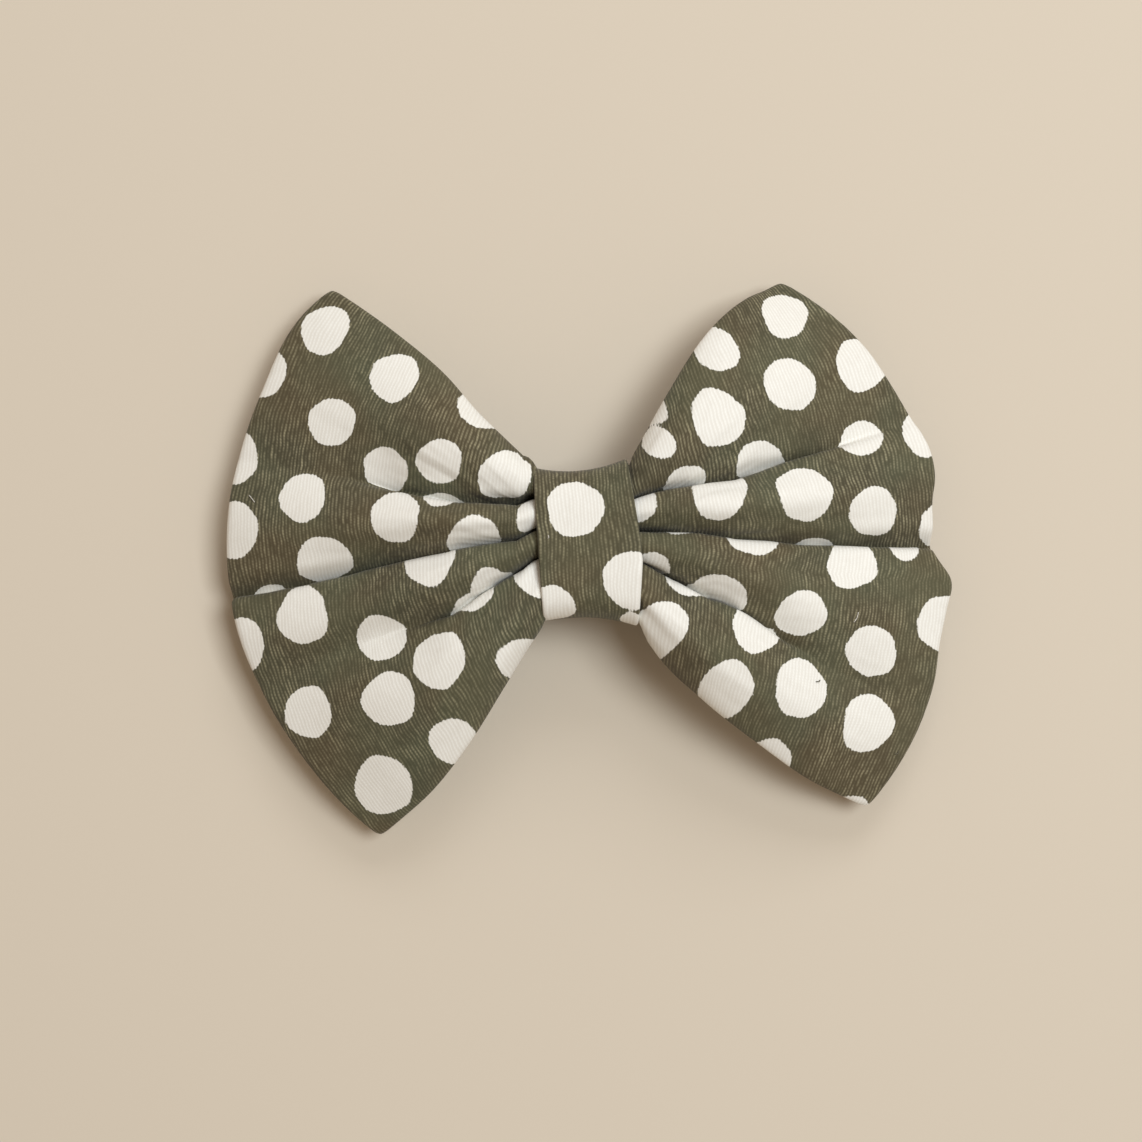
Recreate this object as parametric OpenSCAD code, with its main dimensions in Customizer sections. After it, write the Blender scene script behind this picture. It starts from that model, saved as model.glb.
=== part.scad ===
// Pinched fabric hair bow on an alligator clip.
// The bow lies on its clip: +Z comes out of its face, X runs from wing to wing, Y from the lower
// corners to the upper ones. The origin is under the middle of the bow, on the surface that its
// clip lies on.

/* [Bow] */
// Width from the side of one wing to the side of the other
bow_w = 127; // [124:0.5:130]
// Height from the lowest corner to the highest
bow_h = 97; // [94:0.5:100]
// Top left corner, in from the left side
top_left_in = 18; // [15:0.5:21]
// Top left corner, down from the top
top_left_down = 1; // [0:0.5:3]
// Bottom left corner, in from the left side
bottom_left_in = 27; // [23:0.5:30]
// Top right corner, in from the right side
top_right_in = 30; // [26:0.5:33]
// Bottom right corner, in from the right side
bottom_right_in = 14.5; // [12:0.5:18]
// Bottom right corner, up from the bottom
bottom_right_up = 5; // [2:0.5:6]
// Outermost point of the left side, above the middle
left_side_y = 2; // [-1:0.5:4]
// Outermost point of the right side, below the middle
right_side_y = -4; // [-6:0.5:-2]
// How far the edges from the knot to the corners bow outwards
edge_bow = 4; // [2:0.5:5]

/* [Cloth] */
// Thickness of the printed cotton
cotton_t = 0.45; // [0.35:0.05:0.5]
// Thickness of the fused interfacing
interfacing_t = 0.25; // [0.15:0.05:0.3]
// How much deeper the gathered cloth is at the knot than at the sides
gather = 4.5; // [4:0.1:4.6]
// Height of the pleats at the knot, above and below their middle
pleat_wave = 2.2; // [1.6:0.1:2.3]
// How far the front panel puffs out from the seam
front_puff = 2.6; // [2:0.1:3]
// How far the back panel puffs out from the seam
back_puff = 0.8; // [0.5:0.1:1]

/* [Knot] */
// Middle of the knot, above the middle of the bow
knot_y = 2.5; // [1:0.5:4]
// Width of the centre band
band_w = 17.4; // [16:0.2:18]
// Thickness of the folded centre band
band_t = 1.2; // [1:0.1:1.4]
// Half the height of the gathered cloth inside the band
waist_half = 11.8; // [11.4:0.1:12]
// Turn of the centre band, anticlockwise from upright
band_tilt = 4; // [0:1:5]
// Thickness of the thread that holds the gathers
thread_d = 0.5; // [0.4:0.05:0.6]

/* [Clip] */
// Front end of the jaws, left of the middle
jaw_reach = 25; // [22:1:28]
// Hinge axis, right of the middle
hinge_x = 13; // [12.5:0.5:14]
// Far end of the thumb tabs, right of the middle
tail_reach = 32; // [30:1:34]
// Width of the thumb tabs
tab_w = 8; // [7.6:0.2:9]
// Thickness of the spring steel
steel_t = 0.6; // [0.5:0.1:0.6]
// Radius of the hinge pin
pin_r = 0.7; // [0.6:0.05:0.8]

/* [Hidden] */

OLIVE = [0.40, 0.38, 0.30];
WHITE = [0.90, 0.89, 0.86];
STEEL = [0.75, 0.75, 0.77];

// Heights of the stack, from the surface up
lever_z = 9.6;                                  // underside of the clip's upper lever
ribbon_t = 0.3;
ribbon_gap = 0.02;
lined_z = lever_z + steel_t + ribbon_gap + ribbon_t;
glue_t = 0.5;
glue_fit = 0.03;                                // under the glue
cloth_fit = 0.15;                               // over the glue
bundle_z = lined_z + glue_t + cloth_fit;        // underside of the gathered cloth

// Gathered stack at the knot
seam_gap = 0.3;                                 // from the seam surface to the cloth on each side
ply_gap = 0.1;                                  // between the cotton and its interfacing
stack_half = seam_gap + ply_gap + gather * (cotton_t + interfacing_t);
knot_z = bundle_z + stack_half + pleat_wave;    // middle of the gathers
bundle_top_z = knot_z + stack_half + pleat_wave;

// Heights of the outer edge
side_z = 9;                                     // middle of each wing's outer edge
corner_z = 6.6;                                 // its corners

// Where the wings leave the knot: how far out, and half their height there
fan_x = 10.6;
fan_half = 13;
waist_draw = 0.6;                               // how far the thread draws the waist in at its middle

// Sampling of the cloth. A station is [-1 or 1, reach] on a wing, or [0, x] in the waist.
lobes = 4;
lobe_steps = 6;
wing_steps = 8;
waist_xs = [-9.4, -4.5, 0, 4.5, 9.4];
function stations_to(most) =
    concat([for (i = [wing_steps:-1:0]) [-1, most * i / wing_steps]],
           [for (x = waist_xs) [0, x]],
           [for (i = [0:wing_steps]) [1, most * i / wing_steps]]);
function across_from(least) =
    [for (j = [0:lobes * lobe_steps]) mix(least, 1 - least, j / (lobes * lobe_steps))];

// The interfacing has no seam allowance, so it leaves out the first and last step each way
function inside(list) = [for (i = [1:len(list) - 2]) list[i]];

// Wing corners and sides: [bottom corner, side, top corner] of the left and the right wing
left_edge = [[bottom_left_in - bow_w / 2, -bow_h / 2],
             [-bow_w / 2, left_side_y],
             [top_left_in - bow_w / 2, bow_h / 2 - top_left_down]];
right_edge = [[bow_w / 2 - bottom_right_in, bottom_right_up - bow_h / 2],
              [bow_w / 2, right_side_y],
              [bow_w / 2 - top_right_in, bow_h / 2]];

function mix(a, b, t) = a + (b - a) * t;

// Centre of the circle through three points
function circle_centre(a, b, c) =
    let (d = 2 * (a.x * (b.y - c.y) + b.x * (c.y - a.y) + c.x * (a.y - b.y)))
    [((a * a) * (b.y - c.y) + (b * b) * (c.y - a.y) + (c * c) * (a.y - b.y)) / d,
     ((a * a) * (c.x - b.x) + (b * b) * (a.x - c.x) + (c * c) * (b.x - a.x)) / d];

// Point at t along the short arc from the first of three points to the last
function arc_at(edge, t) =
    let (o = circle_centre(edge[0], edge[1], edge[2]),
         from = edge[0] - o,
         to = edge[2] - o,
         a = atan2(from.y, from.x),
         turn = atan2(to.y, to.x) - a,
         sweep = turn > 180 ? turn - 360 : turn)
    o + norm(from) * [cos(a + t * sweep), sin(a + t * sweep)];

// Distance out from the knot to the side of the wing: 0 in the waist, 1 at the outer edge
function reach(st) = st[0] == 0 ? 0 : st[1];

// Plan of the bow: station st, and w from the lower edge (0) to the upper edge (1)
function plan(st, w) =
    st[0] == 0
    ? [st[1], knot_y + st[1] * tan(band_tilt) + (2 * w - 1) * waist_at(st[1])]
    : let (knot = [st[0] * fan_x, knot_y + (2 * w - 1) * fan_half],
           side = arc_at(st[0] < 0 ? left_edge : right_edge, w))
      mix(knot, side, st[1]) + [0, edge_bow * pow(2 * w - 1, 5) * sin(180 * st[1])];

// Half the height of the waist at x
function waist_at(x) = waist_half - waist_draw * pow(cos(90 * x / fan_x), 2);

// Height of the seam surface, which dips at the pleats and falls away to the outer edge. The thread
// flattens the pleats in the waist.
waist_flat = 0.75;
function seam_z(st, w) =
    let (s = reach(st),
         side = mix(side_z, corner_z, pow(2 * w - 1, 2)),
         draw = st[0] == 0 ? mix(waist_flat, 1, pow(st[1] / fan_x, 2)) : 1)
    mix(knot_z, side, pow(s, 1.8)) - draw * pleat_wave * pow(1 - s, 1.5) * cos(360 * lobes * w);

function deepen(st) = mix(1, gather, pow(1 - reach(st), 3));
function puff(st, w) = sin(180 * w) * sin(180 * pow(reach(st), 0.8));

// Distance from the seam surface to the interfacing, and through it to the cotton
function lining_at(st, w, height) = seam_gap + height * puff(st, w);
function cotton_at(st, w, height) =
    lining_at(st, w, height) + ply_gap + interfacing_t * deepen(st);

// Closed sheet over the whole bow, between two distances from the seam surface
module sheet(sts, ws, low, high) {
    n = len(sts);
    m = len(ws);
    up = n * m;
    at = function (i, j) i * m + j;
    points = [for (face = [low, high], st = sts, w = ws) lifted(st, w, face(st, w))];
    quads = concat(
        [for (i = [0:n - 2], j = [0:m - 2])
            [up + at(i, j), up + at(i, j + 1), up + at(i + 1, j + 1), up + at(i + 1, j)]],
        [for (i = [0:n - 2], j = [0:m - 2])
            [at(i, j), at(i + 1, j), at(i + 1, j + 1), at(i, j + 1)]],
        [for (i = [0:n - 2]) [at(i, 0), up + at(i, 0), up + at(i + 1, 0), at(i + 1, 0)]],
        [for (i = [0:n - 2])
            [at(i, m - 1), at(i + 1, m - 1), up + at(i + 1, m - 1), up + at(i, m - 1)]],
        [for (j = [0:m - 2]) [at(0, j), at(0, j + 1), up + at(0, j + 1), up + at(0, j)]],
        [for (j = [0:m - 2])
            [at(n - 1, j), up + at(n - 1, j), up + at(n - 1, j + 1), at(n - 1, j + 1)]]);
    polyhedron(points, [for (q = quads) each [[q[0], q[1], q[2]], [q[0], q[2], q[3]]]]);
}

function lifted(st, w, dz) = let (p = plan(st, w)) [p.x, p.y, seam_z(st, w) + dz];

// One round tube along points, with the given number of sides. A closed path joins its own start.
module tube(path, r, sides, closed) {
    n = len(path);
    last = closed ? n - 1 : n - 2;
    ahead = function (i) path[closed ? (i + 1) % n : min(i + 1, n - 1)];
    behind = function (i) path[closed ? (i + n - 1) % n : max(i - 1, 0)];
    along = [for (i = [0:n - 1]) let (d = ahead(i) - behind(i)) d / norm(d)];
    side = [for (d = along)
        let (c = cross(abs(d.z) > 0.9 ? [1, 0, 0] : [0, 0, 1], d)) c / norm(c)];
    rings = [for (i = [0:n - 1], k = [0:sides - 1])
        let (a = 360 * k / sides) path[i] + r * (cos(a) * side[i] + sin(a) * cross(along[i], side[i]))];
    next = function (k) (k + 1) % sides;
    quads = [for (i = [0:last], k = [0:sides - 1])
        let (j = (i + 1) % n)
        [i * sides + k, j * sides + k, j * sides + next(k), i * sides + next(k)]];
    ends = closed ? [] : [[for (k = [0:sides - 1]) k],
                          [for (k = [sides - 1:-1:0]) (n - 1) * sides + k]];
    polyhedron(rings, concat([for (q = quads) each [[q[0], q[1], q[2]], [q[0], q[2], q[3]]]], ends));
}

// ---- cloth ----

module front_panel() {
    color(OLIVE)
    sheet(stations_to(1), across_from(0),
          function (st, w) cotton_at(st, w, front_puff),
          function (st, w) cotton_at(st, w, front_puff) + cotton_t * deepen(st));
}

module back_panel() {
    color(OLIVE)
    sheet(stations_to(1), across_from(0),
          function (st, w) -cotton_at(st, w, back_puff) - cotton_t * deepen(st),
          function (st, w) -cotton_at(st, w, back_puff));
}

module front_interfacing() {
    color(WHITE)
    sheet(inside(stations_to(1)), inside(across_from(0)),
          function (st, w) lining_at(st, w, front_puff),
          function (st, w) lining_at(st, w, front_puff) + interfacing_t * deepen(st));
}

module back_interfacing() {
    color(WHITE)
    sheet(inside(stations_to(1)), inside(across_from(0)),
          function (st, w) -lining_at(st, w, back_puff) - interfacing_t * deepen(st),
          function (st, w) -lining_at(st, w, back_puff));
}

// Sewing thread that runs round the bow between the two panels, just inside their edge
seam_d = 0.24;
seam_in = 0.02;
module seam_thread() {
    sts = stations_to(1 - seam_in);
    ws = across_from(seam_in);
    n = len(sts);
    m = len(ws);
    ring = concat([for (j = [0:m - 2]) [sts[0], ws[j]]],
                  [for (i = [0:n - 2]) [sts[i], ws[m - 1]]],
                  [for (j = [m - 1:-1:1]) [sts[n - 1], ws[j]]],
                  [for (i = [n - 1:-1:1]) [sts[i], ws[0]]]);
    color(OLIVE)
    tube([for (p = ring) lifted(p[0], p[1], 0)], seam_d / 2, 6, true);
}

// ---- knot ----

// Thread wound round the waist, one closed turn beside the other. Each corner of a turn is its side
// in y and z and its radius. The turns sink a little into the gathers' top and bottom.
turns = 5;
turn_pitch = 1.1;                               // in thread widths
turn_corners = [[1, 1, 3.6], [-1, 1, 3.6], [-1, -1, 0.6], [1, -1, 0.6]];
turn_fit = 0.05;
turn_sink = 0.4;
module gather_thread() {
    half = [waist_at(0) + thread_d / 2 + turn_fit,
            stack_half + pleat_wave + thread_d / 2 - turn_sink];
    color(WHITE)
    for (i = [0:turns - 1]) {
        x = (i - (turns - 1) / 2) * thread_d * turn_pitch;
        tube([for (q = [0:3], k = [0:3])
                 let (c = turn_corners[q], a = 90 * q + 30 * k)
                 [x, knot_y + x * tan(band_tilt) + c.x * (half.x - c.z) + c.z * cos(a),
                  knot_z + c.y * (half.y - c.z) + c.z * sin(a)]],
             thread_d / 2, 6, true);
    }
}

// Section of the loop inside the band, grown by some thickness. Its underside is at loop_z.
loop_fit = 0.05;                                // from the ribbon to the band
loop_z = lever_z - ribbon_gap - ribbon_t - loop_fit;
band_fit = 0.3;
front_corner = 4;                               // radii of its corners: over the gathers' front,
back_corner = 1;                                // at their back,
lever_corner = 0.25;                            // and under the lever
lever_w = 7;
module loop_outline(grow) {
    half = waist_half + band_fit;
    offset(r = grow, $fn = 32)
    hull() {
        for (side = [-1, 1]) {
            translate([side * (half - front_corner), bundle_top_z + band_fit - front_corner])
                circle(front_corner, $fn = 32);
            translate([side * (half - back_corner), bundle_z - band_fit + back_corner])
                circle(back_corner, $fn = 16);
            translate([side * (lever_w / 2 + 2 * lever_corner), loop_z + lever_corner])
                circle(lever_corner, $fn = 16);
        }
    }
}

module loop(inner, outer, width) {
    translate([0, knot_y, 0])
    rotate([0, 0, band_tilt])
    rotate([90, 0, 90])
    translate([0, 0, -width / 2])
    linear_extrude(width)
    difference() {
        loop_outline(outer);
        loop_outline(inner);
    }
}

// The band is a strip folded round its own interfacing: two outer plies and the core between them
band_core = 0.2;
band_hem = 0.5;                                 // from each side of the band to the core
core_fit = 0.02;                                // from the plies to the core's faces,
core_side_fit = 0.1;                            // and from the hems to its sides
module centre_band() {
    color(OLIVE)
    difference() {
        loop(0, band_t, band_w);
        loop((band_t - band_core) / 2, (band_t + band_core) / 2, band_w - 2 * band_hem);
    }
}

module band_interfacing() {
    color(WHITE)
    loop((band_t - band_core) / 2 + core_fit, (band_t + band_core) / 2 - core_fit,
         band_w - 2 * (band_hem + core_side_fit));
}

// Hand stitches that close the band's overlap, under the upper lever
stitch_count = 6;
stitch_l = 1.6;
stitch_d = 0.35;
stitch_fit = 0.02;
stitch_slant = 20;
stitch_margin = 1.5;                            // from the band's sides to the outer stitches
module band_stitches() {
    pitch = (band_w - 2 * stitch_margin) / (stitch_count - 1);
    color(WHITE)
    translate([0, knot_y, loop_z - band_t - stitch_fit - stitch_d / 2])
    rotate([0, 0, band_tilt])
    for (i = [0:stitch_count - 1])
        translate([(i - (stitch_count - 1) / 2) * pitch, 0, 0])
        rotate([90, 0, stitch_slant])
        cylinder(h = stitch_l, d = stitch_d, center = true, $fn = 24);
}

// Hot glue between the lined lever and the back of the gathers
glue_size = [14, 6.4];
module glue_pad() {
    color(WHITE)
    translate([0, knot_y, lined_z + glue_fit])
    linear_extrude(glue_t - glue_fit)
    union() {
        square([glue_size.x - glue_size.y, glue_size.y], center = true);
        for (x = [-1, 1]) translate([x * (glue_size.x - glue_size.y) / 2, 0])
            circle(d = glue_size.y, $fn = 48);
    }
}

// ---- clip ----

hinge_z = lever_z - 3;
hinge_run = 0.05;                               // running clearance of the lower lever on the pin
ear_r = 2.6;
ear_out = 4.0;                                  // outer face of the upper lever's ears
ear_in = 3.1;                                   // outer face of the lower lever's ears
jaw_w = 6;
tip_r = 2.5;
taper_l = 7;                                    // where a lever widens behind its tip
flare_l = 3;                                    // and again at its tab
ribbon_w = lever_w + 0.6;
ribbon_end = 8;

module along_y(width) {
    translate([0, width / 2, 0])
    rotate([90, 0, 0])
    linear_extrude(width)
    children();
}

// Plan of a lever: a rounded jaw end, straight sides, and a wider rounded tab from tab_from on
module lever_plan(width, tab_from) {
    tip_x = -jaw_reach + tip_r;
    tab_x = tab_from + flare_l;
    translate([tip_x, 0]) circle(tip_r, $fn = 64);
    polygon([[tip_x, tip_r], [tip_x, -tip_r],
             [tip_x + taper_l, -width / 2], [tip_x + taper_l, width / 2]]);
    translate([tip_x + taper_l, -width / 2]) square([tab_x - tip_x - taper_l, width]);
    polygon([[tab_from, width / 2], [tab_from, -width / 2],
             [tab_x, -tab_w / 2], [tab_x, tab_w / 2]]);
    translate([tab_x, -tab_w / 2]) square([tail_reach - tab_x - tab_w / 4, tab_w]);
    translate([tail_reach - tab_w / 2, 0]) circle(tab_w / 2, $fn = 64);
}

// One ear, a disc on the hinge axis with a web up or down to its lever's plate
module ear(width, r, web_z, hole_r) {
    difference() {
        union() {
            along_y(width) translate([hinge_x, hinge_z]) circle(r, $fn = 64);
            translate([hinge_x - r, -width / 2, min(hinge_z, web_z)])
                cube([2 * r, width, abs(web_z - hinge_z)]);
        }
        along_y(width + 1) translate([hinge_x, hinge_z]) circle(hole_r, $fn = 64);
    }
}

module clip_top_lever() {
    color(STEEL)
    translate([0, knot_y, 0]) {
        translate([0, 0, lever_z]) linear_extrude(steel_t) lever_plan(lever_w, hinge_x + 3);
        translate([hinge_x - ear_r, -ear_out, lever_z]) cube([2 * ear_r, 2 * ear_out, steel_t]);
        for (side = [-1, 1])
            translate([0, side * (ear_out - steel_t / 2), 0])
            ear(steel_t, ear_r, lever_z + steel_t, pin_r);
    }
}

// Side view of the lower lever: a level jaw that turns up at its front, and a tab bent down
jaw_z = lever_z - 6;                            // underside of the level jaw
jaw_top = jaw_z + steel_t;
front_turn = 78;                                // angle through which the jaw's front turns up
front_r = 5.4;
front_x = -jaw_reach + (front_r + steel_t) * sin(front_turn);
bend_x = hinge_x + 3;
function front_arc(r, from, to) =
    [for (k = [0:8]) let (a = mix(from, to, k / 8))
        [front_x - r * sin(a), jaw_top + front_r - r * cos(a)]];
function tab_top(x) = jaw_top - jaw_z * (x - bend_x) / (tail_reach - bend_x);
module lower_side() {
    polygon(concat(front_arc(front_r, front_turn, 0),
                   [[bend_x, jaw_top], [tail_reach, tab_top(tail_reach)],
                    [tail_reach, tab_top(tail_reach) - steel_t], [bend_x, jaw_z]],
                   front_arc(front_r + steel_t, 0, front_turn)));
}

// Toothed wall along one side of the turned-up front, reaching up to the upper lever
tooth_count = 5;
tooth_h = 0.7;
tooth_lean = 0.35;                              // where a tooth's point is, along its base
tooth_gap = 0.1;                                // from the teeth to the ribbon
tooth_top = lever_z - ribbon_gap - ribbon_t - tooth_gap;
wall_turns = [68, 5];                           // where the wall starts and ends on the front's arc
wall_x = [-jaw_reach + 1.2, front_x + 1.4];     // ends of the row of teeth
module tooth_wall() {
    pitch = (wall_x[1] - wall_x[0]) / tooth_count;
    along_y(steel_t)
    polygon(concat(front_arc(front_r + steel_t / 2, wall_turns[0], wall_turns[1]),
                   [for (i = [tooth_count - 1:-1:0]) each
                       [[wall_x[0] + (i + 1) * pitch, tooth_top - tooth_h],
                        [wall_x[0] + (i + tooth_lean) * pitch, tooth_top]]],
                   [[wall_x[0], tooth_top - tooth_h]]));
}

module clip_bottom_lever() {
    color(STEEL)
    translate([0, knot_y, 0]) {
        intersection() {
            along_y(2 * tab_w) lower_side();
            translate([0, 0, -1]) linear_extrude(lever_z) lever_plan(jaw_w, hinge_x + 3.6);
        }
        for (side = [-1, 1]) {
            translate([0, side * (ear_in - steel_t / 2), 0])
            ear(steel_t, ear_r - 0.2, jaw_z + 0.1, pin_r + hinge_run);
            translate([0, side * (tip_r - steel_t), 0]) tooth_wall();
        }
    }
}

// Torsion spring: coils round the pin, with one leg under the upper tab and one on the lower
wire_d = 0.7;
coil_r = 1.55;
coil_turns = 4;
coil_gap = 0.06;
coil_steps = 12;
leg_l = 9.5;
lower_turn = -6;                                // direction in which the lower leg leaves the coil
spring_fit = 0.1;
module clip_spring() {
    half = coil_turns * (wire_d + coil_gap) / 2;
    total = 360 * coil_turns + 180 + lower_turn;
    steps = ceil(total / 360 * coil_steps);
    rest = wire_d / 2 + spring_fit;
    coil = [for (k = [0:steps])
        let (f = k / steps, a = 90 + f * total)
        [hinge_x + coil_r * cos(a), half - 2 * half * f, hinge_z + coil_r * sin(a)]];
    upper_leg = [[hinge_x + leg_l, half, lever_z - rest]];
    lower_leg = [for (x = [bend_x + 1, hinge_x + leg_l]) [x, -half, tab_top(x) + rest]];
    color(STEEL)
    translate([0, knot_y, 0])
    tube(concat(upper_leg, coil, lower_leg), wire_d / 2, 8, false);
}

pin_head_r = 1.2;
pin_head_t = 0.4;
module clip_hinge_pin() {
    color(STEEL)
    translate([hinge_x, knot_y, hinge_z])
    rotate([90, 0, 0]) {
        cylinder(r = pin_r, h = 2 * (ear_out + pin_head_t), center = true, $fn = 64);
        for (side = [-1, 1])
            translate([0, 0, side * (ear_out + pin_head_t / 2 + 0.01)])
            cylinder(r = pin_head_r, h = pin_head_t, center = true, $fn = 64);
    }
}

// Grosgrain ribbon folded round the front of the upper lever
module clip_ribbon() {
    wrap_r = steel_t / 2 + ribbon_gap;
    mid_z = lever_z + steel_t / 2;
    nose_x = -jaw_reach - ribbon_gap;
    color(OLIVE)
    translate([0, knot_y, 0])
    along_y(ribbon_w)
    difference() {
        union() {
            translate([nose_x, mid_z]) circle(wrap_r + ribbon_t, $fn = 48);
            translate([nose_x, mid_z - wrap_r - ribbon_t])
                square([ribbon_end - nose_x, 2 * (wrap_r + ribbon_t)]);
        }
        translate([nose_x, mid_z]) circle(wrap_r, $fn = 48);
        translate([nose_x, mid_z - wrap_r]) square([ribbon_end - nose_x + 1, 2 * wrap_r]);
    }
}

front_panel();
back_panel();
front_interfacing();
back_interfacing();
seam_thread();
gather_thread();
centre_band();
band_interfacing();
band_stitches();
glue_pad();
clip_ribbon();
clip_top_lever();
clip_bottom_lever();
clip_spring();
clip_hinge_pin();
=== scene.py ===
"""Looks of a pinched fabric hair bow on an alligator clip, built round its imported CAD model.

Lengths in the geometry functions are in millimetres and become metres when a mesh is made.
A wing is swept from the knot (reach 0) to its outer edge (reach 1). Across it, the cloth runs from
the lower edge (share 0) to the upper edge (share 1) through four lobes and the three tucks between
them. Each lobe's upper side rolls over and laps the lobe above it.
"""

import math

import bpy
import numpy as np
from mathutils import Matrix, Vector
from mathutils.geometry import convex_hull_2d


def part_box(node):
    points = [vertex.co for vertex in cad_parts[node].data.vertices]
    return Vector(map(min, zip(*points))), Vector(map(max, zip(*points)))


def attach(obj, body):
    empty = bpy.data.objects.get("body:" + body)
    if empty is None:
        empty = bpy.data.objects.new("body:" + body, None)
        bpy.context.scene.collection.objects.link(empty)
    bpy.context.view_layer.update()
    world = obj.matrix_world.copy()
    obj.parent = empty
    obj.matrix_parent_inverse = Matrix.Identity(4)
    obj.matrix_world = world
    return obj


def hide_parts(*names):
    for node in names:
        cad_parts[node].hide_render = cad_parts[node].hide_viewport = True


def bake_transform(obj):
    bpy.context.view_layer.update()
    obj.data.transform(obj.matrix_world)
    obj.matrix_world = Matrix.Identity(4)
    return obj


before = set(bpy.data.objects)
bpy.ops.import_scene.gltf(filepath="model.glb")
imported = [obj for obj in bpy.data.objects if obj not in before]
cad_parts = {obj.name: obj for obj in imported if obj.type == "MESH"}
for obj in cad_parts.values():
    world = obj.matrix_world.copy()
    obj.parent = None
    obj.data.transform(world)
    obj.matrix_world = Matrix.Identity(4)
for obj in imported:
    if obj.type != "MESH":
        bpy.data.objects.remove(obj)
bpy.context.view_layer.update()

MM = 0.001
TAU = 2 * math.pi


def node_box(node):
    """Lowest and highest corner of a CAD node, in millimetres."""
    return [np.array(corner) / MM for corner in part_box(node)]


# ---- driving sizes, in millimetres ----

BOW_LO, BOW_HI = node_box("front_panel")
CLIP_LO, CLIP_HI = node_box("clip_top_lever")
GLUE_LO, GLUE_HI = node_box("glue_pad")
BAND_TOP = node_box("centre_band")[1][2]
PIN_LO, PIN_HI = node_box("clip_hinge_pin")

CLIP_Y = (CLIP_LO[1] + CLIP_HI[1]) / 2
HINGE = (PIN_LO + PIN_HI) / 2
CREST_Z = BOW_HI[2] - 0.9        # middle of the cloth on top of the lobes, at the knot
SIDE_Z = 9.2                     # middle of the cloth at the side of a wing
CORNER_Z = 6.6                   # and at its corners
CLOTH_HALF = 0.79                # from the middle of the two panels to an outer face
COTTON_T = 0.35
LINING_T = 0.2
ROLL = 1.15                      # radius of the folds, to the middle of the cloth
PANEL_FLAT = (128, 115)          # opened-out size of each panel
WING_LENGTH = 54                 # from the knot to the side of a wing, along the cloth
STEP = 0.56                      # spacing of the cloth's mesh
EDGE_STEPS = [0, 0.06, 0.2, 0.42, 0.75, 1.15]

THREAD_P = 0.645                 # pitch of the cloth's threads along the wing
THREAD_Q = 0.56                  # and across it

VIEW_MIDDLE = (-3.35, -1.94)     # what the camera looks straight down at
VIEW_Z = 9                       # height of the plane that it frames
VIEW_WIDTH = 201.4               # width of that plane in the frame
VIEW_DISTANCE = 450              # from the camera to that plane


def under(x, y, z):
    """Where a point at height z lies, that the camera sees over (x, y) of the plane it frames."""
    nearer = (z - VIEW_Z) / VIEW_DISTANCE
    return x + (VIEW_MIDDLE[0] - x) * nearer, y + (VIEW_MIDDLE[1] - y) * nearer


# ---- small numeric tools ----


def smooth(t):
    t = np.clip(t, 0, 1)
    return t * t * (3 - 2 * t)


def mix(a, b, t):
    return a + (b - a) * t


def noise(x, y, seed):
    """Smooth random field from -1 to 1, whose features are about one unit apart."""
    size = 97
    lattice = np.random.default_rng(seed).uniform(-1, 1, (size, size))
    x, y = np.broadcast_arrays(np.asarray(x, float), np.asarray(y, float))
    i, j = np.floor(x).astype(int), np.floor(y).astype(int)
    fx, fy = smooth(x - i), smooth(y - j)
    at = lambda di, dj: lattice[(i + di) % size, (j + dj) % size]
    return mix(mix(at(0, 0), at(1, 0), fx), mix(at(0, 1), at(1, 1), fx), fy)


def through(points, t):
    """Values at t of the straight runs through (t, value) points."""
    return np.interp(t, *zip(*points))


def eased(points, t):
    """Values at t of a smooth curve through (t, value) points."""
    x, y = (np.array(column, float) for column in zip(*points))
    slope = np.gradient(y, x)
    i = np.clip(np.searchsorted(x, t, side="right") - 1, 0, len(x) - 2)
    run = x[i + 1] - x[i]
    f = np.clip((t - x[i]) / run, 0, 1)
    return (y[i] * (1 + 2 * f) * (1 - f) ** 2 + run * slope[i] * f * (1 - f) ** 2
            + y[i + 1] * (3 - 2 * f) * f ** 2 + run * slope[i + 1] * (f - 1) * f ** 2)


def run_along(path):
    """Length along a path up to each of its points."""
    return np.concatenate([[0], np.cumsum(np.linalg.norm(np.diff(path, axis=0), axis=1))])


def beside(path):
    """Unit directions to the left of a path in a plane, at each of its points."""
    along = np.gradient(path, axis=0)
    along /= np.linalg.norm(along, axis=1, keepdims=True)
    return np.stack([-along[:, 1], along[:, 0]], -1)


def rim_of(grid):
    """The outermost entries of a grid, in order round it."""
    return np.concatenate([grid[0, :-1], grid[:-1, -1], grid[-1, :0:-1], grid[:0:-1, 0]])


def arc(points, t):
    """Points at t, from 0 to 1, along the circle through three points."""
    a, b, c = (np.array(p, float) for p in points)
    centre = np.linalg.solve(2 * np.array([b - a, c - a]), [b @ b - a @ a, c @ c - a @ a])
    start, end = (math.atan2(p[1] - centre[1], p[0] - centre[0]) for p in (a, c))
    turn = (end - start + math.pi) % TAU - math.pi
    angle = start + turn * np.asarray(t, float)
    radius = np.linalg.norm(a - centre)
    return np.stack([centre[0] + radius * np.cos(angle), centre[1] + radius * np.sin(angle)], -1)


# ---- the wings ----


def crest(s, u):
    """Height of the lobes' tops."""
    u = np.clip(u, 0, 1)
    level = mix(CREST_Z, mix(SIDE_Z, CORNER_Z, (2 * u - 1) ** 2), np.clip(s, 0, 1) ** 1.75)
    return level + 1.3 * np.sin(math.pi * np.clip(s / 0.55, 0, 1)) ** 1.5 * np.sin(math.pi * u) ** 0.5


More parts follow.
